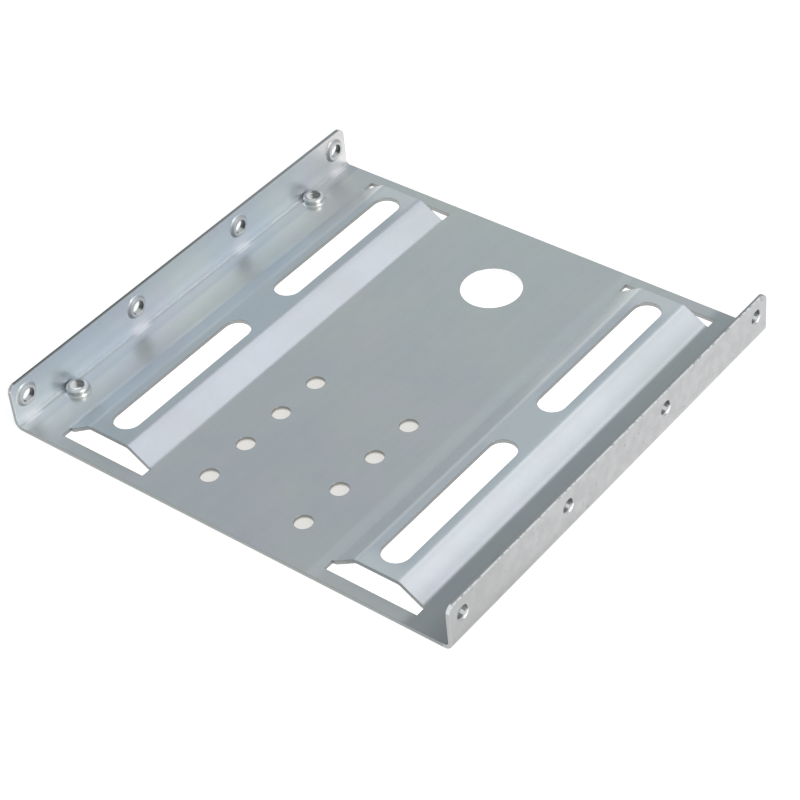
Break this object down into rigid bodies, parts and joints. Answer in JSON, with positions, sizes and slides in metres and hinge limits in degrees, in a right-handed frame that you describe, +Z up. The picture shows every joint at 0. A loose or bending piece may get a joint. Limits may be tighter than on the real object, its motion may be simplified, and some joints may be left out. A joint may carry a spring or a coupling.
{
  "type": "drive bay adapter bracket",
  "caption": "Shallow folded steel tray with slotted raised ribs and drilled side flanges, which holds a small drive in a larger drive bay.",
  "frame": {"origin": "middle of the base's underside", "axes": "+X across the tray to the right flange, +Y along the flanges to the end with the large hole, +Z up, the way the flanges point"},
  "size_m": [0.1016, 0.097, 0.0098],
  "materials": {
    "zinc_steel": "bright zinc plating on cold-rolled steel sheet, satin with a pale blue tint"
  },
  "bodies": {
    "root": {"drive_bracket": "zinc_steel"}
  },
  "joints": []
}
